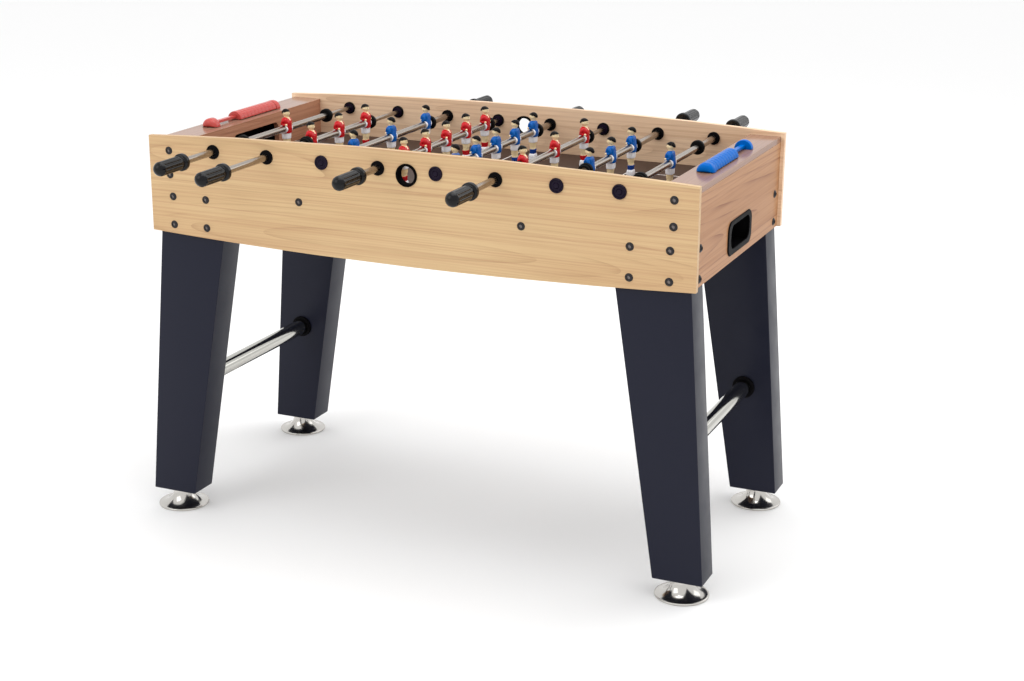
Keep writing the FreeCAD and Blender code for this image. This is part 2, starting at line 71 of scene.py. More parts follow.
# ---------------------------------------------------------------- sizes, in millimetres
MEN_PER_ROD = (1, 3, 3, 5, 5, 3, 3, 1)
SHOULDERS = 30.0            # outside width of a man
TUBE_R = 7.25
BOARD = 12.0
BUMPER = 16.0
STRETCHER_R = 18.0
FOOT_HIGH = 40.6
STUD_TOP = 80.6
LEG_EDGE = 1.4              # rounding of the legs' long edges
BOARD_EASE = 0.7            # rounding of laminated boards
CUP_EASE = 1.3              # rounding of the ball returns
APRON_LOW_MID = 627.0
PANEL_LOW = 643.0
BEADS = 10
APRON_FACE = 305.0          # outer faces of the aprons, from the middle
END_FACE = 602.0            # outer faces of the end panels
SERVE_Z = 815.5
PITCH_LINE = 3.4
PENALTY_BOX = (300, 168)    # from the middle line, and from the long axis
GOAL_BOX = (430, 105)
CENTRE_CIRCLE_R = 98
BORE = TUBE_R + 0.08        # bushings and stops round the tubes
SMOOTH_BELOW = math.radians(32)


def corners(node):
    """Lowest and highest corner of a frame node, in millimetres."""
    low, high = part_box(node)
    return np.array(low) / MM, np.array(high) / MM


# ---------------------------------------------------------------- surfaces
def outline(points, steps=5, closed=False):
    """A polygon given as (a, b, radius) with each corner turned into an arc.

    The arc touches both sides: it starts radius / tan(half the corner's angle) from the corner,
    and its centre lies radius / sin(half the angle) along the bisector.
    """
    table = np.array(points, float)
    place, radius = table[:, :2], table[:, 2:]
    before = np.roll(place, 1, 0) - place
    after = np.roll(place, -1, 0) - place
    before /= np.maximum(np.linalg.norm(before, axis=1, keepdims=True), 1e-9)
    after /= np.maximum(np.linalg.norm(after, axis=1, keepdims=True), 1e-9)
    half = np.arccos(np.clip((before * after).sum(1, keepdims=True), -0.9999, 0.9999)) / 2
    bisector = before + after
    bisector /= np.maximum(np.linalg.norm(bisector, axis=1, keepdims=True), 1e-9)
    centre = place + bisector * radius / np.sin(half)
    start = place + before * radius / np.tan(half) - centre
    end = place + after * radius / np.tan(half) - centre
    sweep = math.pi - 2 * half
    t = np.linspace(0, 1, steps)
    first = np.sin((1 - t) * sweep) / np.sin(sweep)
    last = np.sin(t * sweep) / np.sin(sweep)
    arcs = centre[:, None] + start[:, None] * first[..., None] + end[:, None] * last[..., None]
    line = arcs.reshape(-1, 2)
    return np.vstack([line, line[:1]]) if closed else line


def even(line, step):
    """The same line with points added so that none are further apart than step."""
    line = np.asarray(line, float)
    run = np.concatenate([[0], np.cumsum(np.linalg.norm(np.diff(line, axis=0), axis=1))])
    stops = np.unique(np.concatenate([run, np.linspace(0, run[-1], int(run[-1] / step) + 2)]))
    return np.column_stack([np.interp(stops, run, line[:, i]) for i in range(line.shape[1])])


def smooth_rows(table, count):
    """Rows of numbers joined by Catmull-Rom curves, each read at count even places."""
    table = np.array(table, float)
    padded = np.vstack([2 * table[0] - table[1], table, 2 * table[-1] - table[-2]])
    place = np.linspace(0, len(table) - 1, count)
    k = np.minimum(place.astype(int), len(table) - 2)
    t = (place - k)[:, None]
    a, b, c, d = (padded[k + i] for i in range(4))
    return b + 0.5 * t * (c - a + t * (2 * a - 5 * b + 4 * c - d + t * (3 * (b - c) + d - a)))


def turned(line, origin, along, columns=48, reach=None):
    """An outline of (distance along the axis, radius) turned once about the axis.

    A point at angle v is origin + along * distance + radius * (side * cos v + up * sin v);
    reach, if given, is a factor on the radius for every row and column.
    """
    line = np.asarray(line, float)
    along = np.array(along, float)
    side = np.cross(along, (0.0, 0.0, 1.0) if abs(along[2]) < 0.5 else (1.0, 0.0, 0.0))
    up = np.cross(along, side)
    v = np.linspace(0, 2 * math.pi, columns, endpoint=False)
    ring = np.cos(v)[:, None] * side + np.sin(v)[:, None] * up
    radius = line[:, 1:2] if reach is None else line[:, 1:2] * reach
    radius = np.broadcast_to(radius, (len(line), columns))
    return np.asarray(origin) + line[:, :1, None] * along + radius[..., None] * ring


def stacked(rows, columns=32, power=2.4):
    """Superellipse sections (height, centre x, half x, half y) stacked along Z, closed at both ends.

    A section's point at angle v is half * sign(cos v) * |cos v| ** (2 / power), and the same with
    sin for Y.
    """
    rows = np.asarray(rows, float)
    v = np.linspace(0, 2 * math.pi, columns, endpoint=False)
    c = np.sign(np.cos(v)) * np.abs(np.cos(v)) ** (2 / power)
    s = np.sign(np.sin(v)) * np.abs(np.sin(v)) ** (2 / power)
    ends = rows[[0, -1]] * (1, 1, 0, 0)
    rows = np.vstack([ends[:1], rows, ends[1:]])
    x = rows[:, 1:2] + rows[:, 2:3] * c
    y = rows[:, 3:4] * s
    z = np.broadcast_to(rows[:, :1], x.shape)
    return np.stack([x, y, z], -1)


def limb(path, radii, rows=18, columns=14):
    """A round limb along a smooth path, closed by domes.

    Each ring lies across the path's direction; the radius is the smoothed one times
    sqrt(1 - e ** 8), where e runs from -1 to 1 along the limb.
    """
    table = smooth_rows(np.column_stack([path, radii]), rows)
    line, radius = table[:, :3], table[:, 3]
    forward = np.gradient(line, axis=0)
    forward /= np.linalg.norm(forward, axis=1, keepdims=True)
    side = np.cross(forward, (0.0, 1.0, 0.0))
    side /= np.linalg.norm(side, axis=1, keepdims=True)
    up = np.cross(forward, side)
    radius = radius * np.sqrt(np.maximum(0, 1 - np.linspace(-1, 1, rows) ** 8))
    v = np.linspace(0, 2 * math.pi, columns, endpoint=False)
    ring = np.cos(v)[None, :, None] * side[:, None] + np.sin(v)[None, :, None] * up[:, None]
    return line[:, None] + radius[:, None, None] * ring


def bump(distance, width):
    """A soft hill: exp(-(distance / width) ** 2)."""
    return np.exp(-(distance / width) ** 2)


def moved(parts, offset):
    """The same (grid, paint) parts, shifted."""
    return [(grid + np.asarray(offset, float), paint) for grid, paint in parts]


# ---------------------------------------------------------------- pieces
def finish_mesh(obj, materials):
    """Give an object's mesh its materials and smooth shading with sharp edges kept."""
    for material in materials:
        obj.data.materials.append(material)
    obj.data.shade_smooth()
    obj.data.set_sharp_from_angle(angle=SMOOTH_BELOW)


def piece(name, parts, materials, body, stands_for):
    """Make one object of several grids of points.

    Each grid's rows run along a shape and its columns once round it, so a face joins two
    neighbours of a row to the same two of the next. paint is a material number or one per face,
    and -1 leaves a face out; the rims that this opens are joined in pairs, as the ends of a bore.
    Doubles at poles and seams are merged, and every closed shell is turned to face outwards.
    """
    points, faces, paints = [], [], []
    count = 0
    for grid, paint in parts:
        rows, columns = grid.shape[:2]
        index = count + np.arange(rows * columns).reshape(rows, columns)
        a, b = index[:-1], index[1:]
        faces.append(np.stack([a, np.roll(a, -1, 1), np.roll(b, -1, 1), b], -1).reshape(-1, 4))
        paints.append(np.broadcast_to(paint, a.shape).reshape(-1))
        points.append(grid.reshape(-1, 3) * MM)
        count += rows * columns
    faces, paints = np.vstack(faces), np.concatenate(paints).astype(np.int32)
    mesh = bpy.data.meshes.new(name)
    mesh.from_pydata(np.vstack(points), [], faces[paints >= 0].tolist())
    mesh.polygons.foreach_set("material_index", paints[paints >= 0])
    work = bmesh.new()
    work.from_mesh(mesh)
    bmesh.ops.remove_doubles(work, verts=work.verts, dist=0.004 * MM)
    rims = [edge for edge in work.edges if edge.is_boundary]
    if rims:
        bmesh.ops.bridge_loops(work, edges=rims, use_pairs=True)
    bmesh.ops.recalc_face_normals(work, faces=work.faces)
    work.to_mesh(mesh)
    work.free()
    obj = bpy.data.objects.new(name, mesh)
    bpy.context.scene.collection.objects.link(obj)
    finish_mesh(obj, materials)
    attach(obj, body)
    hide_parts(*stands_for)
    return obj


def eased(node, name, material, width):
    """A copy of a frame node whose sharp edges are rounded by width millimetres."""
    source = frame["nodes"][node]
    mesh = source.data.copy()
    mesh.name = name
    mesh.materials.clear()
    work = bmesh.new()
    work.from_mesh(mesh)
    bmesh.ops.remove_doubles(work, verts=work.verts, dist=0.004 * MM)
    bmesh.ops.dissolve_limit(work, angle_limit=math.radians(0.8), verts=work.verts, edges=work.edges)
    work.to_mesh(mesh)
    work.free()
    obj = bpy.data.objects.new(name, mesh)
    bpy.context.scene.collection.objects.link(obj)
    finish_mesh(obj, [material])
    rounding = obj.modifiers.new("rounding", "BEVEL")
    rounding.width = width * MM
    rounding.segments = 2
    rounding.limit_method = "ANGLE"
    rounding.angle_limit = math.radians(40)
    rounding.harden_normals = True
    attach(obj, source["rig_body"])
    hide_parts(node)
    return obj


# ---------------------------------------------------------------- finishes
def colour(code):
    """An sRGB hex code as linear RGBA."""
    part = np.array([int(code[i:i + 2], 16) for i in (1, 3, 5)]) / 255
    linear = np.where(part <= 0.04045, part / 12.92, ((part + 0.055) / 1.055) ** 2.4)
    return (*linear, 1.0)


def add(tree, kind, inputs=None, **settings):
    """Add a shader node with its settings; an input given as a socket is linked to it."""
    new = tree.nodes.new("ShaderNode" + kind)
    for key, value in settings.items():
        setattr(new, key, value)
    for key, value in (inputs or {}).items():
        if isinstance(value, bpy.types.NodeSocket):
            tree.links.new(value, new.inputs[key])
        else:
            new.inputs[key].default_value = value
    return new


def finish(name, base, roughness, **sockets):
    """A new material: its tree, its shader and the object's own coordinates in metres."""
    material = bpy.data.materials.new(name)
    material.use_nodes = True
    tree = material.node_tree
    tree.nodes.clear()
    shader = add(tree, "BsdfPrincipled", {"Base Color": colour(base), "Roughness": roughness})
    for key, value in sockets.items():
        shader.inputs[key.replace("_", " ")].default_value = value
    out = add(tree, "OutputMaterial")
    tree.links.new(shader.outputs[0], out.inputs[0])
    place = add(tree, "TexCoord").outputs["Object"]
    material.diffuse_color = colour(base)
    return material, tree, shader, place


def printed_wood(name, base, pale, line, streak, along, gloss, seed, figure):
    """Melamine paper printed with flat-sawn wood, pressed on board.

    Each noise is drawn out along the grain, with so many features a metre along it and across
    it. The contour lines of the slowest one, fract(44 * noise) ** 6, are the cathedral figure,
    broken up by a second one. Finer ones give threads 4 mm apart and pores, and the others soft
    bands and clouds.
    """
    material, tree, shader, place = finish(name, base, gloss, Specular_IOR_Level=0.16)
    turn = (0, 0, 0) if along == "X" else (0, 0, math.pi / 2)
    grain = add(tree, "Mapping", {"Vector": place, "Rotation": turn, "Location": (seed, seed, seed)},
                vector_type="TEXTURE").outputs[0]
    noise = {}
    for layer, lengthwise, across, detail, roughness, wander in (
            ("hills", 0.32, 4.6, 1.5, 0.4, 0.06), ("breaks", 3.5, 60.0, 3.0, 0.5, 0.0),
            ("threads", 0.8, 230.0, 3.0, 0.6, 0.0), ("pores", 7.0, 620.0, 2.0, 0.5, 0.0),
            ("bands", 0.9, 34.0, 4.0, 0.6, 0.0), ("clouds", 1.6, 11.0, 2.0, 0.5, 0.0)):
        scaled = add(tree, "Mapping", {"Vector": grain, "Scale": (lengthwise, across, across)})
        noise[layer] = add(tree, "TexNoise", {
            "Vector": scaled.outputs[0], "Scale": 1.0, "Detail": detail, "Roughness": roughness,
            "Distortion": wander}).outputs[0]
    for layer, low, high in (("breaks", 0.34, 0.66), ("threads", 0.42, 0.66), ("pores", 0.50, 0.78),
                             ("bands", 0.46, 0.78), ("clouds", 0.30, 0.70)):
        noise[layer] = add(tree, "MapRange", {"Value": noise[layer], "From Min": low, "From Max": high},
                           interpolation_type="SMOOTHSTEP").outputs[0]
    rings = add(tree, "Math", {0: noise["hills"], 1: 44.0}, operation="MULTIPLY").outputs[0]
    rise = add(tree, "Math", {0: rings}, operation="FRACT").outputs[0]
    edge = add(tree, "Math", {0: rise, 1: 6.0}, operation="POWER").outputs[0]
    noise["figure"] = add(tree, "Math", {0: edge, 1: noise["breaks"]}, operation="MULTIPLY").outputs[0]
    tone = add(tree, "Mix", {0: noise["clouds"], 6: colour(base), 7: colour(pale)},
               data_type="RGBA").outputs[2]
    for layer, share, shade in (("bands", 0.3, streak), ("threads", 0.5, streak), ("pores", 0.22, line),
                                ("figure", 0.7 * figure, line)):
        amount = add(tree, "Math", {0: noise[layer], 1: share}, operation="MULTIPLY").outputs[0]
        tone = add(tree, "Mix", {0: amount, 6: tone, 7: colour(shade)}, data_type="RGBA").outputs[2]
    tree.links.new(tone, shader.inputs["Base Color"])
    dip = add(tree, "Bump", {"Strength": 0.04, "Distance": 0.0002, "Height": noise["pores"]},
              invert=True)
    tree.links.new(dip.outputs[0], shader.inputs["Normal"])
    return material


def lines_on_board(name):
    """Dark stained hardboard, roller-lacquered, with the pitch printed on it in white.

    A box's outline is where |max(edge - |x|, |y| - reach)| is under half a line's width, and a
    circle is where its distance from the centre is.
    """
    material, tree, shader, place = finish(name, "#33211D", 0.42, Specular_IOR_Level=0.3)
    axis = add(tree, "SeparateXYZ", {0: place}).outputs
    x = add(tree, "Math", {0: axis[0]}, operation="ABSOLUTE").outputs[0]
    y = add(tree, "Math", {0: axis[1]}, operation="ABSOLUTE").outputs[0]

    def boxed(edge, reach):
        """How far a point is outside (+) or inside (-) a box's outline."""
        inward = add(tree, "Math", {0: edge * MM, 1: x}, operation="SUBTRACT").outputs[0]
        outward = add(tree, "Math", {0: y, 1: reach * MM}, operation="SUBTRACT").outputs[0]
        return add(tree, "Math", {0: inward, 1: outward}, operation="MAXIMUM").outputs[0]

    def ringed(radius):
        """How far a point is outside (+) or inside (-) the centre circle."""
        flat = add(tree, "CombineXYZ", {0: x, 1: y})
        far = add(tree, "VectorMath", {0: flat.outputs[0]}, operation="LENGTH").outputs["Value"]
        return add(tree, "Math", {0: far, 1: radius * MM}, operation="SUBTRACT").outputs[0]

    nearest = x
    for distance in (boxed(*PENALTY_BOX), boxed(*GOAL_BOX), ringed(CENTRE_CIRCLE_R)):
        gap = add(tree, "Math", {0: distance}, operation="ABSOLUTE").outputs[0]
        nearest = add(tree, "Math", {0: nearest, 1: gap}, operation="MINIMUM").outputs[0]
    paint = add(tree, "Math", {0: nearest, 1: PITCH_LINE / 2 * MM}, operation="LESS_THAN").outputs[0]
    speck = add(tree, "TexNoise", {"Vector": place, "Scale": 900.0, "Detail": 2.0}).outputs[0]
    fibre = add(tree, "MapRange", {"Value": speck, "From Min": 0.35, "From Max": 0.7},
                interpolation_type="SMOOTHSTEP").outputs[0]
    board = add(tree, "Mix", {0: fibre, 6: colour("#2E1D19"), 7: colour("#402B25")},
                data_type="RGBA").outputs[2]
    tone = add(tree, "Mix", {0: paint, 6: board, 7: colour("#E4DEDA")}, data_type="RGBA").outputs[2]
    tree.links.new(tone, shader.inputs["Base Color"])
    dip = add(tree, "Bump", {"Strength": 0.12, "Distance": 0.0002, "Height": speck})
    tree.links.new(dip.outputs[0], shader.inputs["Normal"])
    return material


def speckled(name, base, roughness, grit, strength, spread=0.0, **sockets):
    """A finish with a fine skin: noise with grains grit millimetres wide bumps it, and slow noise
    with patches about 55 mm wide varies its roughness by spread."""
    material, tree, shader, place = finish(name, base, roughness, **sockets)
    skin = add(tree, "TexNoise", {"Vector": place, "Scale": 1 / (grit * MM), "Detail": 3.0}).outputs[0]
    dip = add(tree, "Bump", {"Strength": strength, "Distance": 0.0003, "Height": skin})
    tree.links.new(dip.outputs[0], shader.inputs["Normal"])
    if spread:
        patch = add(tree, "TexNoise", {"Vector": place, "Scale": 18.0, "Detail": 3.0}).outputs[0]
        rough = add(tree, "MapRange", {"Value": patch, "From Min": 0.3, "From Max": 0.7,
                                       "To Min": roughness - spread, "To Max": roughness + spread})
        tree.links.new(rough.outputs[0], shader.inputs["Roughness"])
    return material


def drawn_steel(name, base, roughness):
    """Steel tube drawn through a die: hair lines along Y, 0.6 mm apart, lift its roughness."""
    material, tree, shader, place = finish(name, base, roughness, Metallic=1.0)
    scaled = add(tree, "Mapping", {"Vector": place, "Scale": (1600.0, 14.0, 1600.0)}).outputs[0]
    hair = add(tree, "TexNoise", {"Vector": scaled, "Scale": 1.0, "Detail": 2.0}).outputs[0]
    rough = add(tree, "MapRange", {"Value": hair, "From Min": 0.3, "From Max": 0.7,
                                   "To Min": roughness - 0.06, "To Max": roughness + 0.08})
    tree.links.new(rough.outputs[0], shader.inputs["Roughness"])
    return material


# melamine paper on MDF: satin, with a printed flat-sawn figure; the shelves' is polished, so it
# mirrors the scorers. It is one laminate: the rear apron's paler copy is painted light, and the
# end panels', goal walls' and shelves' darker copies are painted shade
maple = printed_wood("maple_print_melamine", "#CCAB80", "#D5B78B", "#946B4C", "#B98F6D", "X", 0.36, 3.1,
                     0.55)
painted_light_maple = printed_wood("maple_print_melamine_painted_light", "#EDCAA8", "#F4D5B4", "#B48A66", "#D2AB88", "X",
                          0.36, 6.4, 0.5)
tan = printed_wood("maple_print_melamine_painted_shade_tan", "#AC7D56", "#B88A64", "#77401F", "#98653C", "Y", 0.4, 7.7, 1.3)
painted_shade_brown = printed_wood("maple_print_melamine_painted_shade_dark", "#B98468", "#C48F72", "#7D4B35", "#9F6B50", "Y", 0.34, 5.3,
                     0.7)
shelf = printed_wood("gloss_maple_print_melamine_painted_shade", "#95725F", "#A17E6B", "#75523F", "#886555", "Y", 0.14, 9.9,
                     0.5)
# hardboard, stained and roller-lacquered: dark, a little soft-glossy, with white screen-printed lines
pitch = lines_on_board("stained_hardboard_pitch")
# raw MDF: matt, felted fibres
mdf = speckled("raw_mdf", "#A98A66", 0.85, 0.9, 0.25)
# legs: MDF sprayed with dark blue-grey lacquer, which leaves a fine orange peel and soft lights
lacquer = speckled("sprayed_navy_lacquer", "#191B2A", 0.34, 2.2, 0.05, 0.05, Specular_IOR_Level=0.26,
                   IOR=1.4)
# chrome plate on drawn tube: a mirror with clear edges
chrome = speckled("chrome_plated_steel", "#BDBCB6", 0.11, 3.0, 0.01, 0.02, Metallic=1.0)
# chrome plate on spun sheet: the spinning's ripple softens and brightens the feet's mirror
spun_chrome = speckled("chrome_on_spun_steel", "#C6C3BE", 0.16, 3.0, 0.01, 0.03, Metallic=1.0)
# drawn steel: a warm grey metal with soft lights and hair lines along the rod
steel = drawn_steel("drawn_steel_tube", "#A59D95", 0.22)
# moulded ABS and PP: black all through, spark-eroded skins; IORs below 1.45 stand for skins so fine
# that they throw back little of a pale room
satin_black = speckled("moulded_black_abs", "#0E0D0F", 0.46, 0.8, 0.06, 0.05, Specular_IOR_Level=0.12,
                       IOR=1.22)
ring_black = speckled("matt_black_abs", "#0A090A", 0.55, 0.8, 0.06, Specular_IOR_Level=0.05, IOR=1.15)
# polished PP: the grips' long clean highlights
grip_black = speckled("moulded_gloss_black_pp", "#060609", 0.2, 1.6, 0.02, 0.03,
                      Specular_IOR_Level=0.34, IOR=1.42)
# the blind caps' ABS: glossier, with a plum cast
cap_black = speckled("moulded_plum_black_abs", "#150A1F", 0.24, 1.2, 0.03, 0.04,
                     Specular_IOR_Level=0.14)
# moulded rubber: dull, with a faint tooth
rubber = speckled("moulded_black_rubber", "#0F0F10", 0.48, 0.7, 0.1, 0.06, Specular_IOR_Level=0.14,
                  IOR=1.3)
# black oxide on steel: half metallic and dark; the socket's floor takes a paler grey, a painted
# highlight
bolt_black = speckled("black_oxide_steel", "#2B292B", 0.42, 0.5, 0.08, 0.06, Metallic=0.6)
painted_highlight_grey = speckled("hex_socket_painted_highlight", "#77706E", 0.4, 0.5, 0.08, Metallic=0.8)
# polystyrene beads and rails: glossy, and light sinks a few millimetres into the red
score_red = speckled("moulded_red_ps", "#BE4A44", 0.16, 2.0, 0.02, 0.03, Subsurface_Weight=0.15,
                     Subsurface_Radius=(0.004, 0.0012, 0.001), Specular_IOR_Level=0.35)
score_blue = speckled("moulded_blue_ps", "#0062BA", 0.18, 2.0, 0.02, 0.03, Specular_IOR_Level=0.12,
                      IOR=1.3)
# enamel brushed on moulded ABS: the men's clean bright colours under small sharp lights
kit_red = speckled("red_enamel", "#C4161F", 0.26, 1.0, 0.04, 0.04, Specular_IOR_Level=0.25)
kit_blue = speckled("blue_enamel", "#005AAC", 0.26, 1.0, 0.04, 0.04, Specular_IOR_Level=0.18)
sock_blue = speckled("dark_blue_enamel", "#0D3F93", 0.26, 1.0, 0.04, 0.04)
skin_tone = speckled("skin_enamel", "#FCE4B4", 0.34, 1.0, 0.04, 0.04)
hair_tone = speckled("hair_enamel", "#0C0807", 0.34, 0.8, 0.12, 0.05, Specular_IOR_Level=0.12)
# the men's own white ABS: shorts, boots and the boss on the rod
white_abs = speckled("moulded_white_abs", "#FDFCFF", 0.3, 1.4, 0.03, 0.04)


# ---------------------------------------------------------------- wood
for node, words, material, slot in (
        ("front_apron", "front_apron_board", maple, "maple_laminate"),
        ("rear_apron", "rear_apron_board", painted_light_maple, "maple_laminate"),
        ("left_end_panel", "left_end_board", tan, "tan_laminate"),
        ("right_end_panel", "right_end_board", tan, "tan_laminate"),
        ("goal_walls", "goal_wall_boards", painted_shade_brown, "brown_laminate"),
        ("end_shelves", "shelf_boards", shelf, "pale_laminate")):
    eased(node, words, material, BOARD_EASE)
eased("ball_returns", "ball_return_cups", satin_black, CUP_EASE)


def painted_shade_inner_faces(board, material):
    """Give the faces of a board that look towards the middle of the table another finish, as painted
    shade.
    """
    count = len(board.data.polygons)
    normals, centres = np.empty(count * 3), np.empty(count * 3)
    board.data.polygons.foreach_get("normal", normals)
    board.data.polygons.foreach_get("center", centres)
    inward = -normals[::3] * np.sign(centres[::3]) > 0.9
    board.data.materials.append(material)
    board.data.polygons.foreach_set("material_index", inward.astype(np.int32))


# the shelves' inner faces take the goal walls' darker copy: painted shade
painted_shade_inner_faces(bpy.data.objects["shelf_boards"], painted_shade_brown)

for node, material in (("playfield", pitch), ("field_braces", mdf), ("corner_battens", mdf),
                       ("goal_boxes", satin_black), ("inner_rods", steel), ("leg_stretchers", chrome)):
    mesh = frame["nodes"][node].data
    mesh.materials.clear()
    mesh.materials.append(material)

# ---------------------------------------------------------------- legs, feet and stretchers
LEG_TOP_IN, LEG_TOP_OUT = 441.0, 597.0
LEG_LOW_IN, LEG_LOW_OUT = 539.9, 645.5
APRON_IN = 293.0
LEG_DEPTH = 70.4
LEG_SPLAY = 10.9
TONGUE_IN, TONGUE_OUT, TONGUE_TOP = LEG_TOP_IN + 3, 590.0, 737.8
ALL = 1e3                   # a shrink that closes a section to its middle


def arc_through(a, b, c, count):
    """Points of the circle through three points, from a to c: the centre is where the
    bisectors of ab and bc meet."""
    a, b, c = (np.array(p, float) for p in (a, b, c))
    rows = 2 * np.array([b - a, c - b])
    middle = np.linalg.solve(rows, [b @ b - a @ a, c @ c - b @ b])
    angle = np.unwrap([math.atan2(p[1] - middle[1], p[0] - middle[0]) for p in (a, b, c)])
    t = np.linspace(angle[0], angle[2], count)
    return middle + np.linalg.norm(a - middle) * np.column_stack([np.cos(t), np.sin(t)])


def leg_rows(sx, sy):
    """The leg's rounded rectangles at its bottom, under the apron and at its top.

    Between heights the inner and outer sides run straight; the outer face stands upright behind
    the apron and splays forward below it.
    """
    rings = []
    for z, shrink in ((FOOT_HIGH, ALL), (FOOT_HIGH, 1.0), (FOOT_HIGH + 1.0, 0.0), (APRON_LOW_MID, 0.0),
                      (PANEL_LOW, 0.0), (PANEL_LOW, ALL)):
        down = (PANEL_LOW - z) / (PANEL_LOW - FOOT_HIGH)
        x0 = LEG_TOP_IN + (LEG_LOW_IN - LEG_TOP_IN) * down
        x1 = LEG_TOP_OUT + (LEG_LOW_OUT - LEG_TOP_OUT) * down
        y1 = APRON_IN + LEG_SPLAY * max(0.0, (APRON_LOW_MID - z) / (APRON_LOW_MID - FOOT_HIGH))
        y0 = y1 - LEG_DEPTH
        mx, my = (x0 + x1) / 2, (y0 + y1) / 2
        hx = max(0.0, (x1 - x0) / 2 - shrink)
        hy = max(0.0, (y1 - y0) / 2 - shrink)
        edge = LEG_EDGE if hx else 0.0
        ring = outline([(mx - hx, my - hy, edge), (mx + hx, my - hy, edge),
                        (mx + hx, my + hy, edge), (mx - hx, my + hy, edge)])
        rings.append(np.column_stack([sx * ring[:, 0], sy * ring[:, 1], np.full(len(ring), z)]))
    return np.array(rings)


def boxed_tongue(sx, sy):
    """The leg's plain tongue inside the cabinet, as a closed four-sided stack."""
    x0, x1, y0, y1 = TONGUE_IN, TONGUE_OUT, APRON_IN - LEG_DEPTH, APRON_IN
    mx, my = (x0 + x1) / 2, (y0 + y1) / 2
    low = PANEL_LOW + 0.1
    rings = [[(mx, my, z)] * 4 if closed else [(x0, y0, z), (x1, y0, z), (x1, y1, z), (x0, y1, z)]
             for z, closed in ((low, True), (low, False), (TONGUE_TOP, False), (TONGUE_TOP, True))]
    return np.array(rings) * (sx, sy, 1)


# a foot as (height, radius): a rolled rim, a trumpet that is one arc up to the collar, and the stud
foot_curve = arc_through((4.0, 56.0), (15.0, 30.1), (37.6, 20.5), 26)
foot_line = np.vstack([[(0, 0)], outline([(0, 50, 0), (0, 56, 1.4), (4, 56, 1.8), (6, 50, 0)])[5:-5],
                       foot_curve[1:],
                       outline([(37.6, 20.5, 0), (FOOT_HIGH, 20.5, 1.2), (FOOT_HIGH, 5, 0),
                                (STUD_TOP, 5, 0.8), (STUD_TOP, 0, 0)])])
for word, sx, sy in (("front_left", -1, -1), ("front_right", 1, -1),
                     ("rear_left", -1, 1), ("rear_right", 1, 1)):
    piece(word + "_leg_case", [(leg_rows(sx, sy), 0), (boxed_tongue(sx, sy), 0)], [lacquer],
          "cabinet", [word + "_leg"])
    low, high = corners(word + "_foot")
    middle = ((low[0] + high[0]) / 2, (low[1] + high[1]) / 2, 0)
    piece(word + "_trumpet_foot", [(turned(foot_line, middle, (0, 0, 1), 96), 0)], [spun_chrome],
          word + "_foot", [word + "_foot"])

low, high = corners("leg_stretchers")
x = high[0] - STRETCHER_R
z = (low[2] + high[2]) / 2
lean = (APRON_LOW_MID - z) / (APRON_LOW_MID - FOOT_HIGH)
face = APRON_IN - LEG_DEPTH + LEG_SPLAY * lean
inside = STRETCHER_R + 0.05
ring = outline([(-6, inside, 0.4), (-6, 25, 1.4), (1.5, 25, 0), (1.5, inside, 0)], closed=True)
socket_rings = [(turned(ring, (sx * x, sy * face, z), (0, sy, 0), 64), 0)
                for sx in (-1, 1) for sy in (-1, 1)]
piece("stretcher_rings", socket_rings, [satin_black], "cabinet", ["stretcher_sockets"])

# ---------------------------------------------------------------- bolts
HEX_R = 3.9                 # drawn a little wider than the 5 mm key, as the pale painted highlight in the socket shows
HEAD_R, HEAD_HIGH, SHANK_R, SHANK_LONG = 8.5, 4.5, 3.0, 28.0
BOLT_SIDES = 24
APRON_BOLTS = ((561.02, 818.5), (561.02, 767.0), (475, 659), (475, 720), (556, 659), (556, 720),
               (249, 736.8))        # (x, z), the same in every quarter
END_BOLTS = ((261.8, 659), (261.8, 720))        # (y, z)


def bolt_grid(head, way):
    """A button head with a six-sided socket, and its shank.

    The socket's radius at angle v is its flat's distance over cos of the angle from the nearest
    flat's middle, and the head is a sphere's cap.
    """
    v = np.linspace(0, 2 * math.pi, BOLT_SIDES, endpoint=False)
    flat = 1 / np.cos((v + math.pi / 6) % (math.pi / 3) - math.pi / 6)
    out = np.linspace(HEX_R + 0.7, HEAD_R, 6)
    cap = HEAD_HIGH - out ** 2 / 17.5
    line = np.vstack([[(-1.6, 0), (-1.6, HEX_R - 0.2), (-3.9, HEX_R)], np.column_stack([-cap, out]),
                      [(0, HEAD_R), (0, SHANK_R), (SHANK_LONG, SHANK_R), (SHANK_LONG, 0)]])
    reach = np.ones((len(line), BOLT_SIDES))
    reach[1:3] = flat * 0.92
    return turned(line, head, way, BOLT_SIDES, reach)


bolt_paint = np.ones((12, BOLT_SIDES), int)
# the socket's floor takes the paler grey: a painted highlight
bolt_paint[0] = 0               # the socket's floor
bolt_rows = [((sx * x, sy * APRON_FACE, z), (0, -sy, 0)) for sx in (-1, 1) for sy in (-1, 1)
             for x, z in APRON_BOLTS]
bolt_rows += [((sx * END_FACE, sy * y, z), (-sx, 0, 0)) for sx in (-1, 1) for sy in (-1, 1)
              for y, z in END_BOLTS]
piece("button_bolts", [(bolt_grid(head, way), bolt_paint) for head, way in bolt_rows],
      [painted_highlight_grey, bolt_black], "cabinet", ["bolts"])

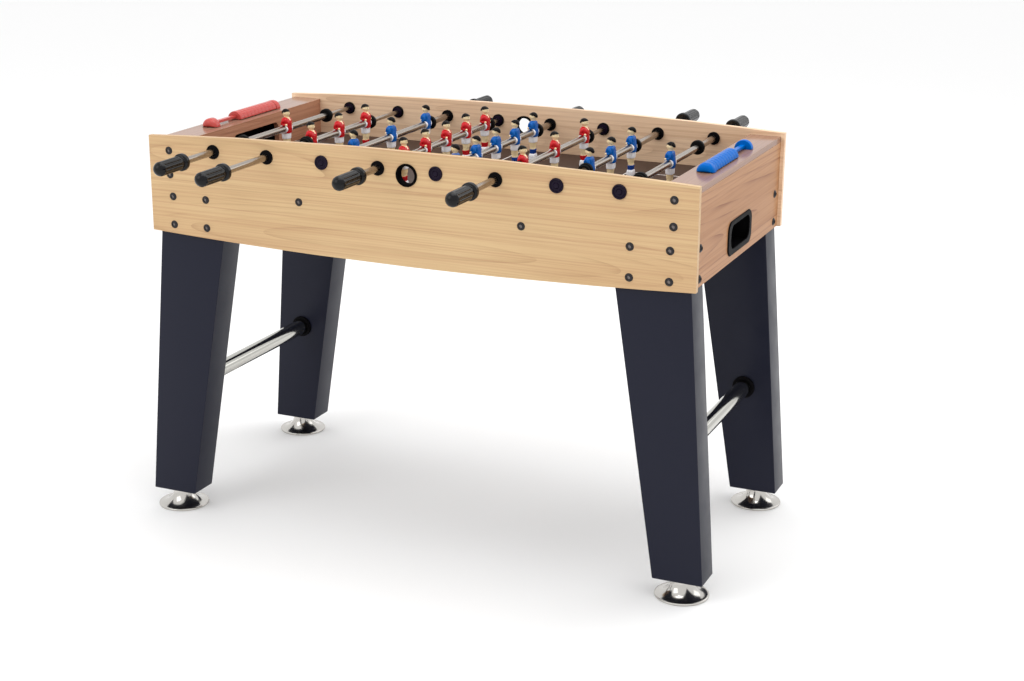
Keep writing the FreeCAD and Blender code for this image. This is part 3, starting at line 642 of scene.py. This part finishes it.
# ---------------------------------------------------------------- serve rings
# Outlines of what sits in an apron are (distance inwards from its face, radius, rounding).
SERVE_R, SERVE_OUT, SERVE_LIP = 18.5, 21.0, 23.5
serve_outline = outline([(-3, SERVE_R, 1.3), (-3, SERVE_LIP, 1.3), (0, SERVE_LIP, 0), (0, SERVE_OUT, 0),
                         (15, SERVE_OUT, 0), (15, SERVE_R, 0.8)], closed=True)
nut_outline = outline([(BOARD, SERVE_OUT + 0.05, 0), (BOARD, SERVE_LIP, 0.4), (15, SERVE_LIP, 1.2),
                       (15, SERVE_OUT + 0.05, 0.4)], closed=True)
serve_parts = [(turned(line, (0, sy * APRON_FACE, SERVE_Z), (0, -sy, 0), 72), 0)
               for sy in (-1, 1) for line in (serve_outline, nut_outline)]
piece("serve_ring_mouldings", serve_parts, [ring_black], "cabinet", ["serve_rings"])

# ---------------------------------------------------------------- rods
NECK, LIP = 11.0, 15.0      # a bushing's neck and its flange
open_outline = outline([(-4, BORE, 0.3), (-4, 9.6, 0.8), (-2.8, 10.3, 0.5), (-2.8, 12.1, 0.5),
                        (-3.7, 12.9, 0.5), (-2.4, LIP, 1.0), (0, LIP, 0), (0, NECK, 0), (17, NECK, 0.6),
                        (17, BORE, 0.3)], closed=True)
blind_outline = outline([(-4, 0, 0), (-4, 4.5, 1.2), (-1.2, 6.4, 1.0), (-1.2, 10.3, 1.2),
                         (-4, 12.2, 1.0), (-3.9, 13.7, 0.8), (-1.8, LIP, 0.8), (0, LIP, 0),
                         (0, NECK, 0), (17, NECK, 0.6), (17, 0, 0)])
ring_outline = outline([(BOARD, NECK + 0.05, 0), (BOARD, 14, 0.3), (17, 14, 1.6),
                        (17, NECK + 0.05, 0.4)], closed=True)
# a stop's outline runs from its wide inner face to its nose at the bushing, and a grip's from its
# collar to its dome
stop_outline = outline([(0, BORE, 0.3), (0, 15.5, 2.4), (10, 15.5, 2.0), (10.4, 12.6, 0.8),
                        (BUMPER, 12.4, 1.6), (BUMPER, BORE, 0.3)], closed=True)
GRIP_LONG, GRIP_R, COLLAR_R, SOCKET_R, SOCKET_DEEP = 95.0, 15.0, 18.0, 7.3, 62.0
grip_outline = even(outline([(SOCKET_DEEP, 0, 0), (SOCKET_DEEP, SOCKET_R, 0), (0, SOCKET_R, 0.3),
                             (0, COLLAR_R, 3.6), (12, COLLAR_R, 3.6), (13, 13.6, 2.4), (24, GRIP_R, 7),
                             (GRIP_LONG, GRIP_R, 14.6), (GRIP_LONG, 0, 0)], 7), 2.4)
FLUTES, FLUTE_DEEP, FLUTE_FROM, FLUTE_TO = 10, 1.7, 20, 84
GRIP_COLUMNS = 120


def fluted(line):
    """Factors on the grip's radius: grooves that fade in after the waist and out at the dome,
    each shaped exp(-(angle from its middle / width) ** 4)."""
    v = np.linspace(0, 2 * math.pi, GRIP_COLUMNS, endpoint=False)
    pitch_angle = 2 * math.pi / FLUTES
    off = (v + pitch_angle / 2) % pitch_angle - pitch_angle / 2
    groove = np.exp(-(off / (0.21 * pitch_angle)) ** 4)
    u, r = line[:, 0], line[:, 1]
    window = np.clip((u - FLUTE_FROM) / 7, 0, 1) * np.clip((FLUTE_TO - u) / 6, 0, 1) * (r > 10)
    return 1 - FLUTE_DEEP / GRIP_R * (window ** 0.7)[:, None] * groove


grip_reach = fluted(grip_outline)
bushings = []
for k in range(1, 9):
    low, high = corners(f"rod_{k}_tube")
    axis_x, axis_z = (low[0] + high[0]) / 2, (low[2] + high[2]) / 2
    grip_low, grip_high = corners(f"rod_{k}_handle")
    way = 1 if grip_low[1] > 0 else -1
    start = grip_low[1] if way > 0 else grip_high[1]
    grip = turned(grip_outline, (axis_x, start, axis_z), (0, way, 0), GRIP_COLUMNS, grip_reach)
    piece(f"rod_{k}_grip", [(grip, 0)], [grip_black], f"rod_{k}_spinner",
          [f"rod_{k}_handle"])
    stop_low, stop_high = corners(f"rod_{k}_bumpers")
    piece(f"rod_{k}_stops",
          [(turned(stop_outline, (axis_x, stop_low[1] + BUMPER, axis_z), (0, -1, 0)), 0),
           (turned(stop_outline, (axis_x, stop_high[1] - BUMPER, axis_z), (0, 1, 0)), 0)],
          [rubber], f"rod_{k}_slider", [f"rod_{k}_bumpers"])
    for side in (-1, 1):
        wall = (axis_x, side * APRON_FACE, axis_z)
        line, paint = (open_outline, 0) if side == way else (blind_outline, 1)
        bushings.append((turned(line, wall, (0, -side, 0), 56), paint))
        bushings.append((turned(ring_outline, wall, (0, -side, 0), 56), 0))
    tube = frame["nodes"][f"rod_{k}_tube"].data
    tube.materials.clear()
    tube.materials.append(steel)
piece("bushing_mouldings", bushings, [satin_black, cap_black], "cabinet",
      ["rod_bushings"])

# ---------------------------------------------------------------- men
SKIN, SHIRT, WHITE, HAIR, SOCK = range(5)       # the order of a rod's finishes
HEAD_COLUMNS = 44
CROWN_MID, CROWN_R, CROWN_HALF = 34.8, 9.2, 8.0     # the hair's middle height, radius and half width
BOSS_HALF, BOSS_R = 12.5, 9.6


def head():
    """A plain head, and the paint of each of its faces.

    A point is centre + radii * direction, narrowed towards the chin; soft hills add the nose,
    brow, chin, lips and ears, and soft dips the eye sockets.
    """
    polar = np.linspace(0, math.pi, 37)[:, None]
    turn = np.linspace(-math.pi, math.pi, HEAD_COLUMNS, endpoint=False)[None]
    x = np.sin(polar) * np.cos(turn)
    y = np.sin(polar) * np.sin(turn)
    z = np.cos(polar) * np.ones_like(turn)
    jaw = 1 - 0.26 * np.clip(-z, 0, 1) ** 1.4
    px, py, pz = 0.4 + 8.0 * x * jaw, 6.9 * y * jaw, 33.6 + 9.6 * z
    front = np.clip(x, 0, 1) ** 2
    side = np.clip(np.abs(y), 0, 1) ** 6
    nose = 2.0 * bump(py, 1.1) * bump(pz - 32.6, 1.9)
    brows = 0.7 * bump(pz - 36.6, 1.0) * bump(py, 4.4)
    sockets = 0.8 * bump(np.abs(py) - 2.6, 1.2) * bump(pz - 34.9, 1.2)
    chin = 0.7 * bump(pz - 26.6, 1.4) * bump(py, 2.6)
    lips = 0.45 * bump(pz - 29.6, 0.5) * bump(py, 2.2) + 0.4 * bump(pz - 28.3, 0.5) * bump(py, 2.0)
    px = px + front * (nose + brows - sockets + chin + lips)
    py = py + np.sign(py) * side * 1.3 * bump(pz - 33.4, 1.9) * bump(px + 0.2, 1.6)
    grid = np.stack([px, py, pz], -1)
    mid = (grid[:-1] + grid[1:] + np.roll(grid[:-1], -1, 1) + np.roll(grid[1:], -1, 1)) / 4
    forward, aside, height = mid[..., 0], np.abs(mid[..., 1]), mid[..., 2]
    eye = np.hypot(aside - 2.7, height - 34.9) < 0.8
    brow = (np.abs(aside - 2.8) < 1.5) & (np.abs(height - 36.9) < 0.35)
    return grid, np.where((forward > 3) & (eye | brow), HAIR, SKIN)


def hair():
    """Short hair: a cap on the crown's ellipsoid whose rim is high at the brow and low at the nape,
    closed inside the head; fine waves, sin(9 * turn + 5 * polar), run back from the brow."""
    turn = np.linspace(-math.pi, math.pi, HEAD_COLUMNS, endpoint=False)
    nape = 0.5 * (1 - np.cos(turn)) / 2 + 5.6 * np.clip(-np.cos(turn), 0, 1) ** 1.4
    sideburns = 1.5 * bump(np.abs(turn) - 1.5, 0.22)
    rim = 38.4 - nape - sideburns
    low = np.arccos(np.clip((rim - CROWN_MID) / CROWN_R, -1, 1))
    share = np.concatenate([np.linspace(0, 1, 15), [1.0, 1.0]])[:, None]
    shrink = np.concatenate([np.ones(15), [0.8, 0.0]])[:, None]
    polar = share * low
    wave = 1 + 0.022 * np.sin(9 * turn + 5 * polar) * np.sin(polar)
    x = np.sin(polar) * np.cos(turn) * wave
    y = np.sin(polar) * np.sin(turn) * wave
    z = CROWN_MID + CROWN_R * np.cos(polar)
    quiff = 2.2 * np.clip(x, 0, 1) ** 2 * bump(z - 40.2, 2.6)
    grid = np.stack([(-0.7 + CROWN_R * x + quiff) * shrink, CROWN_HALF * y * shrink, z], -1)
    return grid, HAIR


def cleft(grid, depth, width):
    """Narrow a stack in X near its middle plane, as between two legs, by the factor
    1 - depth * exp(-(y / width) ** 2)."""
    grid = grid.copy()
    middle = grid[:, :, :1].mean(1, keepdims=True)
    pinch = 1 - depth * bump(grid[:, :, 1:2], width)
    grid[:, :, :1] = middle + (grid[:, :, :1] - middle) * pinch
    return grid


def man_parts():
    """One man about the rod's axis, facing +X, as (grid, paint) parts.

    Body sections are rows of (height, centre x, half x, half y), and limbs are points and radii.
    """
    neck = stacked(smooth_rows([(17, 1.0, 4.6, 5.4), (23, 0.4, 4.4, 4.6), (29, -0.2, 4.2, 4.2)], 8),
                   20, 2.0)
    shirt_rows = smooth_rows([(-9.8, 0.2, 9.7, 11.5), (-6, 0.1, 10.3, 11.6), (0, 0.2, 10.9, 11.7),
                              (6, 0.4, 10.3, 11.8), (13, 1.0, 9.6, 12.6), (19, 0.6, 8.4, 13.4),
                              (22.5, 0.0, 6.8, 11.8), (24.4, -0.2, 5.6, 8.2), (25.6, -0.2, 4.9, 5.4)],
                             34)
    shirt = stacked(shirt_rows, 44, 3.2)
    mid = (shirt[:-1] + shirt[1:]) / 2
    vee = (mid[..., 0] > 1) & (mid[..., 2] > 18.5) & (np.abs(mid[..., 1]) < (mid[..., 2] - 18.5) * 0.75)
    height = shirt[..., 2:3]
    folds = 0.018 * np.sin(height * 1.1 + shirt[..., 1:2] * 0.35) * (np.abs(height) < 18)
    shirt[..., :2] *= 1 + folds
    centre = (mid + np.roll(mid, -1, 1)) / 2
    rod_hole = np.hypot(centre[..., 0], centre[..., 2]) < TUBE_R + 0.9
    parts = [head(), hair(), (neck, SKIN), (shirt, np.where(rod_hole, -1, np.where(vee, SKIN, SHIRT)))]
    for side in (-1, 1):
        arm = limb([(-0.4, side * 11.2, 21.4), (-1.6, side * 13.0, 17.0), (-3.2, side * 13.6, 11.8),
                    (1.0, side * 13.2, 9.6), (5.4, side * 12.2, 9.4)], [3.4, 3.5, 3.0, 2.7, 2.4])
        hand = limb([(4.4, side * 12.3, 9.4), (6.6, side * 11.6, 9.3), (9.0, side * 10.4, 9.2)],
                    [2.1, 2.4, 1.9], 10, 12)
        parts += [(arm, SHIRT), (hand, SKIN)]
    boss_line = outline([(-BOSS_HALF, TUBE_R + 0.06, 0.2), (-BOSS_HALF, BOSS_R, 1.2),
                         (BOSS_HALF, BOSS_R, 1.2), (BOSS_HALF, TUBE_R + 0.06, 0.2)], closed=True)
    parts.append((turned(boss_line, (0, 0, 0), (0, 1, 0), 40), WHITE))
    shorts = stacked(smooth_rows([(-22.6, 0, 7.9, 10.4), (-21.8, 0, 8.5, 11.0), (-16, 0, 8.8, 11.3),
                                  (-9.4, 0, 9.0, 11.1), (-8.5, 0, 8.7, 10.8)], 16), 36, 2.8)
    parts.append((cleft(shorts, 0.14, 1.6), WHITE))
    legs = stacked(smooth_rows([(-48, 0.3, 5.2, 7.4), (-41, -0.4, 6.4, 8.6), (-34, 0.2, 6.0, 8.3),
                                (-30, 0.5, 6.8, 8.8), (-20, 0, 7.4, 9.8)], 18), 36, 2.5)
    parts.append((cleft(legs, 0.34, 1.3), SKIN))
    socks = stacked(smooth_rows([(-50.5, 0.3, 5.9, 8.0), (-46, 0.0, 6.2, 8.4), (-40.5, -0.3, 7.0, 9.1),
                                 (-38.6, -0.3, 7.2, 9.3), (-37.8, -0.3, 6.6, 8.8)], 14), 36, 2.6)
    parts.append((cleft(socks, 0.26, 1.3), SOCK))
    boots = stacked(smooth_rows([(-61.6, 0, 6.6, 10.2), (-61.0, 0, 7.3, 10.9), (-56, 0, 7.4, 10.9),
                                 (-51.5, 0, 7.1, 10.4), (-49.0, 0, 6.4, 9.4), (-48.0, 0, 5.4, 8.4)], 18),
                    40, 5.0)
    parts.append((cleft(boots, 0.1, 1.0), WHITE))
    return parts


def facing(parts, way):
    """The parts turned half a turn about Z when the team plays towards -X."""
    return [(grid * (way, way, 1), paint) for grid, paint in parts]


man = man_parts()
for k, count in enumerate(MEN_PER_ROD, 1):
    low, high = corners(f"rod_{k}_men")
    spin = next(joint for joint in frame["joints"] if joint["name"] == f"rod_{k}_spin")
    axis = np.array(spin["pos_m"]) / MM
    red = corners(f"rod_{k}_handle")[0][1] < 0
    spacing = (high[1] - low[1] - SHOULDERS) / max(1, count - 1)
    team = facing(man, 1 if red else -1)
    parts = []
    for n in range(count):
        parts += moved(team, axis + (0, (n - (count - 1) / 2) * spacing, 0))
    shirt_paint, sock_paint = (kit_red, kit_red) if red else (kit_blue, sock_blue)
    finishes = [skin_tone, shirt_paint, white_abs, hair_tone, sock_paint]
    piece(f"rod_{k}_players", parts, finishes, f"rod_{k}_spinner",
          [f"rod_{k}_men"])

# ---------------------------------------------------------------- scorers
SHELF_TOP = 840.0
BEAD_R = 18.0
RAIL_R = 19.0
RAIL_BLOCK = 24.0
BAR_HALF = (5.0, 3.0)
BAR_Z = 847.0
BEAD_HOLE = (5.5, 3.5)      # half sizes, as the bar's
BEAD_GAP = 0.5
BEAD_LIFT = 0.8             # clear of the shelf
THUMB = 13.0                # length of a block's rounded end


def ray_length(turn, r, low, centre):
    """Distance from a point centre above low, at each angle, to the half disc of radius r that
    stands on low: the nearer of the circle and the flat."""
    up = centre - low
    circle = -up * np.sin(turn) + np.sqrt(up ** 2 * np.sin(turn) ** 2 + r ** 2 - up ** 2)
    flat = np.where(np.sin(turn) < -1e-6, up / np.maximum(-np.sin(turn), 1e-6), 1e6)
    return np.minimum(circle, flat)


def half_round(x, ys, sizes, r, low, hole=None, columns=60):
    """Half-disc sections along Y at given sizes, closed by their middles or by a square hole."""
    turn = np.linspace(-math.pi / 2, 1.5 * math.pi, columns, endpoint=False)
    reach = ray_length(turn, r, low, BAR_Z)
    ys, sizes = np.asarray(ys, float), np.asarray(sizes, float)
    rows = sizes[:, None] * reach
    if hole:
        square = np.minimum(hole[0] / np.maximum(np.abs(np.cos(turn)), 1e-6),
                            hole[1] / np.maximum(np.abs(np.sin(turn)), 1e-6))
        rows = np.vstack([square, rows, square, square])
        ys = np.concatenate([ys[:1], ys, ys[-1:], ys[:1]])
    else:
        rows = np.vstack([0 * reach, rows, 0 * reach])
        ys = np.concatenate([ys[:1], ys, ys[-1:]])
    px = x + rows * np.cos(turn)
    pz = BAR_Z + rows * np.sin(turn)
    return np.stack([px, np.broadcast_to(ys[:, None], px.shape), pz], -1)


def end_block(x, way, outer):
    """A half-round block whose outer end is rounded like a thumb: over its last THUMB millimetres
    the section shrinks as cos(a) ** 0.8 while it moves out as sin(a)."""
    t = np.linspace(0, 1, 9)
    ys = np.concatenate([outer - THUMB * (1 - np.sin(t * math.pi / 2)),
                         [outer - RAIL_BLOCK + 1.2, outer - RAIL_BLOCK]])
    sizes = np.concatenate([np.maximum(0.02, np.cos(t * math.pi / 2)) ** 0.8, [1.0, 0.95]])
    order = np.argsort(ys)
    return half_round(x, way * ys[order], sizes[order], RAIL_R, SHELF_TOP)


for words, material, slot in (("red", score_red, "red_plastic"), ("blue", score_blue, "blue_plastic")):
    low, high = corners(f"{words}_counters")
    x = (low[0] + high[0]) / 2
    spacing = (high[1] - low[1] + BEAD_GAP) / BEADS
    t = np.linspace(-1, 1, 9)
    sizes = 1 - 0.055 * t ** 6
    beads = []
    for n in range(BEADS):
        middle = low[1] + n * spacing + (spacing - BEAD_GAP) / 2
        ys = middle + t * (spacing - BEAD_GAP) / 2
        beads.append((half_round(x, ys, sizes, BEAD_R, SHELF_TOP + BEAD_LIFT, BEAD_HOLE, 48), 0))
    piece(f"{words}_score_beads", beads, [material], f"{words}_counters", [f"{words}_counters"])

high = corners("score_rails")[1]
wide, tall = BAR_HALF
bar = outline([(-wide, -tall, 0.8), (wide, -tall, 0.8), (wide, tall, 0.8), (-wide, tall, 0.8)])
reach = high[1] - RAIL_BLOCK + 4
rail_parts = []
for sx, paint in ((-1, 0), (1, 1)):
    x = sx * (high[0] - RAIL_R)
    for way in (-1, 1):
        rail_parts.append((end_block(x, way, high[1]), paint))
    ring = [np.column_stack([x + bar[:, 0] * s, np.full(len(bar), y), BAR_Z + bar[:, 1] * s])
            for y, s in ((-reach, 0), (-reach, 1), (reach, 1), (reach, 0))]
    rail_parts.append((np.array(ring), paint))
piece("scorer_rails", rail_parts, [score_red, score_blue], "cabinet", ["score_rails"])

# ---------------------------------------------------------------- studio
AZIMUTH, ELEVATION, ROLL = math.radians(23.383), math.radians(17.255), math.radians(0.363)
DISTANCE = 3.9019
TARGET = Vector((0.0996, 0.0, 0.3976))
LENS = 62.58
FLOOR_R, FLOOR_Z = 60.0, -0.0005
LIGHTS_AIM = (0, 0, 0.6)


def add_camera():
    """A camera at the viewing angle: back is the direction from the target to the camera."""
    back = Vector((math.sin(AZIMUTH) * math.cos(ELEVATION),
                   -math.cos(AZIMUTH) * math.cos(ELEVATION), math.sin(ELEVATION)))
    right = Vector((math.cos(AZIMUTH), math.sin(AZIMUTH), 0))
    up = back.cross(right)
    level, lift = math.cos(ROLL), math.sin(ROLL)
    across = level * right + lift * up
    upright = level * up - lift * right
    data = bpy.data.cameras.new("studio_camera")
    data.lens = LENS
    data.sensor_width = 36.0
    camera = bpy.data.objects.new("studio_camera", data)
    bpy.context.scene.collection.objects.link(camera)
    turn = Matrix((across, upright, back)).transposed().to_4x4()
    camera.matrix_world = Matrix.Translation(TARGET + DISTANCE * back) @ turn
    bpy.context.scene.camera = camera


def add_softbox(name, place, size, watts):
    """A square area light that faces the table."""
    data = bpy.data.lights.new(name, "AREA")
    data.size = size
    data.energy = watts
    lamp = bpy.data.objects.new(name, data)
    bpy.context.scene.collection.objects.link(lamp)
    direction = Vector(LIGHTS_AIM) - Vector(place)
    lamp.rotation_euler = direction.to_track_quat("-Z", "Y").to_euler()
    lamp.location = place


def add_floor():
    """A round pale floor, wide enough to reach the horizon."""
    turn = np.linspace(0, 2 * math.pi, 64, endpoint=False)
    ring = np.column_stack([FLOOR_R * np.cos(turn), FLOOR_R * np.sin(turn), np.full(64, FLOOR_Z)])
    mesh = bpy.data.meshes.new("studio_floor")
    mesh.from_pydata(ring.tolist(), [], [list(range(64))])
    floor = bpy.data.objects.new("studio_floor", mesh)
    bpy.context.scene.collection.objects.link(floor)
    floor.data.materials.append(finish("white_paper_floor", "#FBFBFB", 0.9)[0])


add_camera()
add_floor()
add_softbox("key_softbox", (-2.2, -3.4, 3.4), 2.6, 34)
add_softbox("top_softbox", (0.4, 0.3, 3.6), 2.8, 48)
add_softbox("rear_softbox", (2.6, 3.0, 2.6), 2.4, 18)
world = bpy.data.worlds.new("studio_world")
world.use_nodes = True
background = world.node_tree.nodes["Background"]
background.inputs[0].default_value = (1, 1, 1, 1)
background.inputs[1].default_value = 1.0
bpy.context.scene.world = world
bpy.context.scene.view_settings.view_transform = "Standard"
